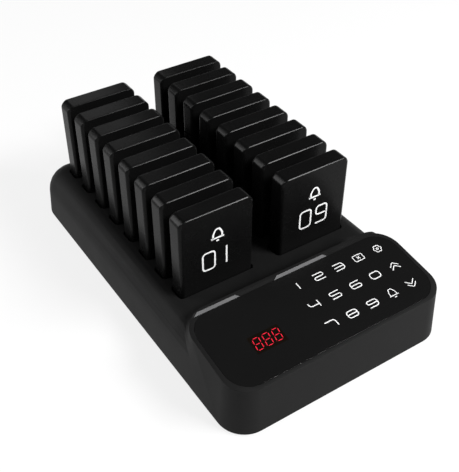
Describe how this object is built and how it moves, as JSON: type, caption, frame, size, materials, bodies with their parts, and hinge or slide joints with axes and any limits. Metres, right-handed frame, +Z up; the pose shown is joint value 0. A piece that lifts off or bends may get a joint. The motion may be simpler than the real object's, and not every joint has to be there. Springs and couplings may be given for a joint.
{
  "type": "guest pager system",
  "caption": "Charging base with a sloping touch keypad and display, and two columns of lift-out guest pagers standing in charging slots.",
  "frame": {"origin": "under the middle of the base, on the surface that its feet stand on", "axes": "+X to the user's right, +Y to the back, +Z up; the keypad is at the -Y end"},
  "size_m": [0.1772, 0.2948, 0.1035],
  "materials": {
    "housing_plastic": "moulded ABS with a fine satin spark texture, black",
    "cover_plastic": "moulded ABS, matt black",
    "screw_steel": "zinc-plated steel",
    "foot_rubber": "die-cut rubber",
    "keypad_panel": "acrylic sheet printed black on its back, polished; glass is as likely",
    "circuit_board": "glass-fibre laminate with solder mask",
    "display_epoxy": "epoxy-filled seven-segment module",
    "shield_metal": "tinned steel can",
    "contact_brass": "gold-plated brass",
    "socket_plastic": "moulded nylon",
    "pager_face": "moulded ABS, satin black, with a printed number",
    "pager_case": "moulded ABS, satin black"
  },
  "bodies": {
    "base": {"upper_housing": "housing_plastic", "bottom_cover": "cover_plastic", "case_screws": "screw_steel", "rubber_feet": "foot_rubber", "touch_panel": "keypad_panel", "touch_sensor_board": "circuit_board", "display_module": "display_epoxy", "main_board": "circuit_board", "transmitter_module": "shield_metal", "charging_boards": "circuit_board", "charging_pins": "contact_brass", "power_inlet": "socket_plastic"},
    "pager_01": {"pager_01_front_cover": "pager_face", "pager_01_rear_case": "pager_case", "pager_01_electronics": "circuit_board"},
    "pager_02": {"pager_02_front_cover": "pager_face", "pager_02_rear_case": "pager_case", "pager_02_electronics": "circuit_board"},
    "pager_03": {"pager_03_front_cover": "pager_face", "pager_03_rear_case": "pager_case", "pager_03_electronics": "circuit_board"},
    "pager_04": {"pager_04_front_cover": "pager_face", "pager_04_rear_case": "pager_case", "pager_04_electronics": "circuit_board"},
    "pager_05": {"pager_05_front_cover": "pager_face", "pager_05_rear_case": "pager_case", "pager_05_electronics": "circuit_board"},
    "pager_06": {"pager_06_front_cover": "pager_face", "pager_06_rear_case": "pager_case", "pager_06_electronics": "circuit_board"},
    "pager_07": {"pager_07_front_cover": "pager_face", "pager_07_rear_case": "pager_case", "pager_07_electronics": "circuit_board"},
    "pager_08": {"pager_08_front_cover": "pager_face", "pager_08_rear_case": "pager_case", "pager_08_electronics": "circuit_board"},
    "pager_09": {"pager_09_front_cover": "pager_face", "pager_09_rear_case": "pager_case", "pager_09_electronics": "circuit_board"},
    "pager_10": {"pager_10_front_cover": "pager_face", "pager_10_rear_case": "pager_case", "pager_10_electronics": "circuit_board"},
    "pager_11": {"pager_11_front_cover": "pager_face", "pager_11_rear_case": "pager_case", "pager_11_electronics": "circuit_board"},
    "pager_12": {"pager_12_front_cover": "pager_face", "pager_12_rear_case": "pager_case", "pager_12_electronics": "circuit_board"},
    "pager_13": {"pager_13_front_cover": "pager_face", "pager_13_rear_case": "pager_case", "pager_13_electronics": "circuit_board"},
    "pager_14": {"pager_14_front_cover": "pager_face", "pager_14_rear_case": "pager_case", "pager_14_electronics": "circuit_board"},
    "pager_15": {"pager_15_front_cover": "pager_face", "pager_15_rear_case": "pager_case", "pager_15_electronics": "circuit_board"},
    "pager_16": {"pager_16_front_cover": "pager_face", "pager_16_rear_case": "pager_case", "pager_16_electronics": "circuit_board"}
  },
  "joints": [
    {"name": "pager_01_lift", "type": "slide", "parent": "base", "child": "pager_01", "axis": [0, 0, 1], "range_m": [0, 0.04]},
    {"name": "pager_02_lift", "type": "slide", "parent": "base", "child": "pager_02", "axis": [0, 0, 1], "range_m": [0, 0.04]},
    {"name": "pager_03_lift", "type": "slide", "parent": "base", "child": "pager_03", "axis": [0, 0, 1], "range_m": [0, 0.04]},
    {"name": "pager_04_lift", "type": "slide", "parent": "base", "child": "pager_04", "axis": [0, 0, 1], "range_m": [0, 0.04]},
    {"name": "pager_05_lift", "type": "slide", "parent": "base", "child": "pager_05", "axis": [0, 0, 1], "range_m": [0, 0.04]},
    {"name": "pager_06_lift", "type": "slide", "parent": "base", "child": "pager_06", "axis": [0, 0, 1], "range_m": [0, 0.04]},
    {"name": "pager_07_lift", "type": "slide", "parent": "base", "child": "pager_07", "axis": [0, 0, 1], "range_m": [0, 0.04]},
    {"name": "pager_08_lift", "type": "slide", "parent": "base", "child": "pager_08", "axis": [0, 0, 1], "range_m": [0, 0.04]},
    {"name": "pager_09_lift", "type": "slide", "parent": "base", "child": "pager_09", "axis": [0, 0, 1], "range_m": [0, 0.04]},
    {"name": "pager_10_lift", "type": "slide", "parent": "base", "child": "pager_10", "axis": [0, 0, 1], "range_m": [0, 0.04]},
    {"name": "pager_11_lift", "type": "slide", "parent": "base", "child": "pager_11", "axis": [0, 0, 1], "range_m": [0, 0.04]},
    {"name": "pager_12_lift", "type": "slide", "parent": "base", "child": "pager_12", "axis": [0, 0, 1], "range_m": [0, 0.04]},
    {"name": "pager_13_lift", "type": "slide", "parent": "base", "child": "pager_13", "axis": [0, 0, 1], "range_m": [0, 0.04]},
    {"name": "pager_14_lift", "type": "slide", "parent": "base", "child": "pager_14", "axis": [0, 0, 1], "range_m": [0, 0.04]},
    {"name": "pager_15_lift", "type": "slide", "parent": "base", "child": "pager_15", "axis": [0, 0, 1], "range_m": [0, 0.04]},
    {"name": "pager_16_lift", "type": "slide", "parent": "base", "child": "pager_16", "axis": [0, 0, 1], "range_m": [0, 0.04]}
  ]
}
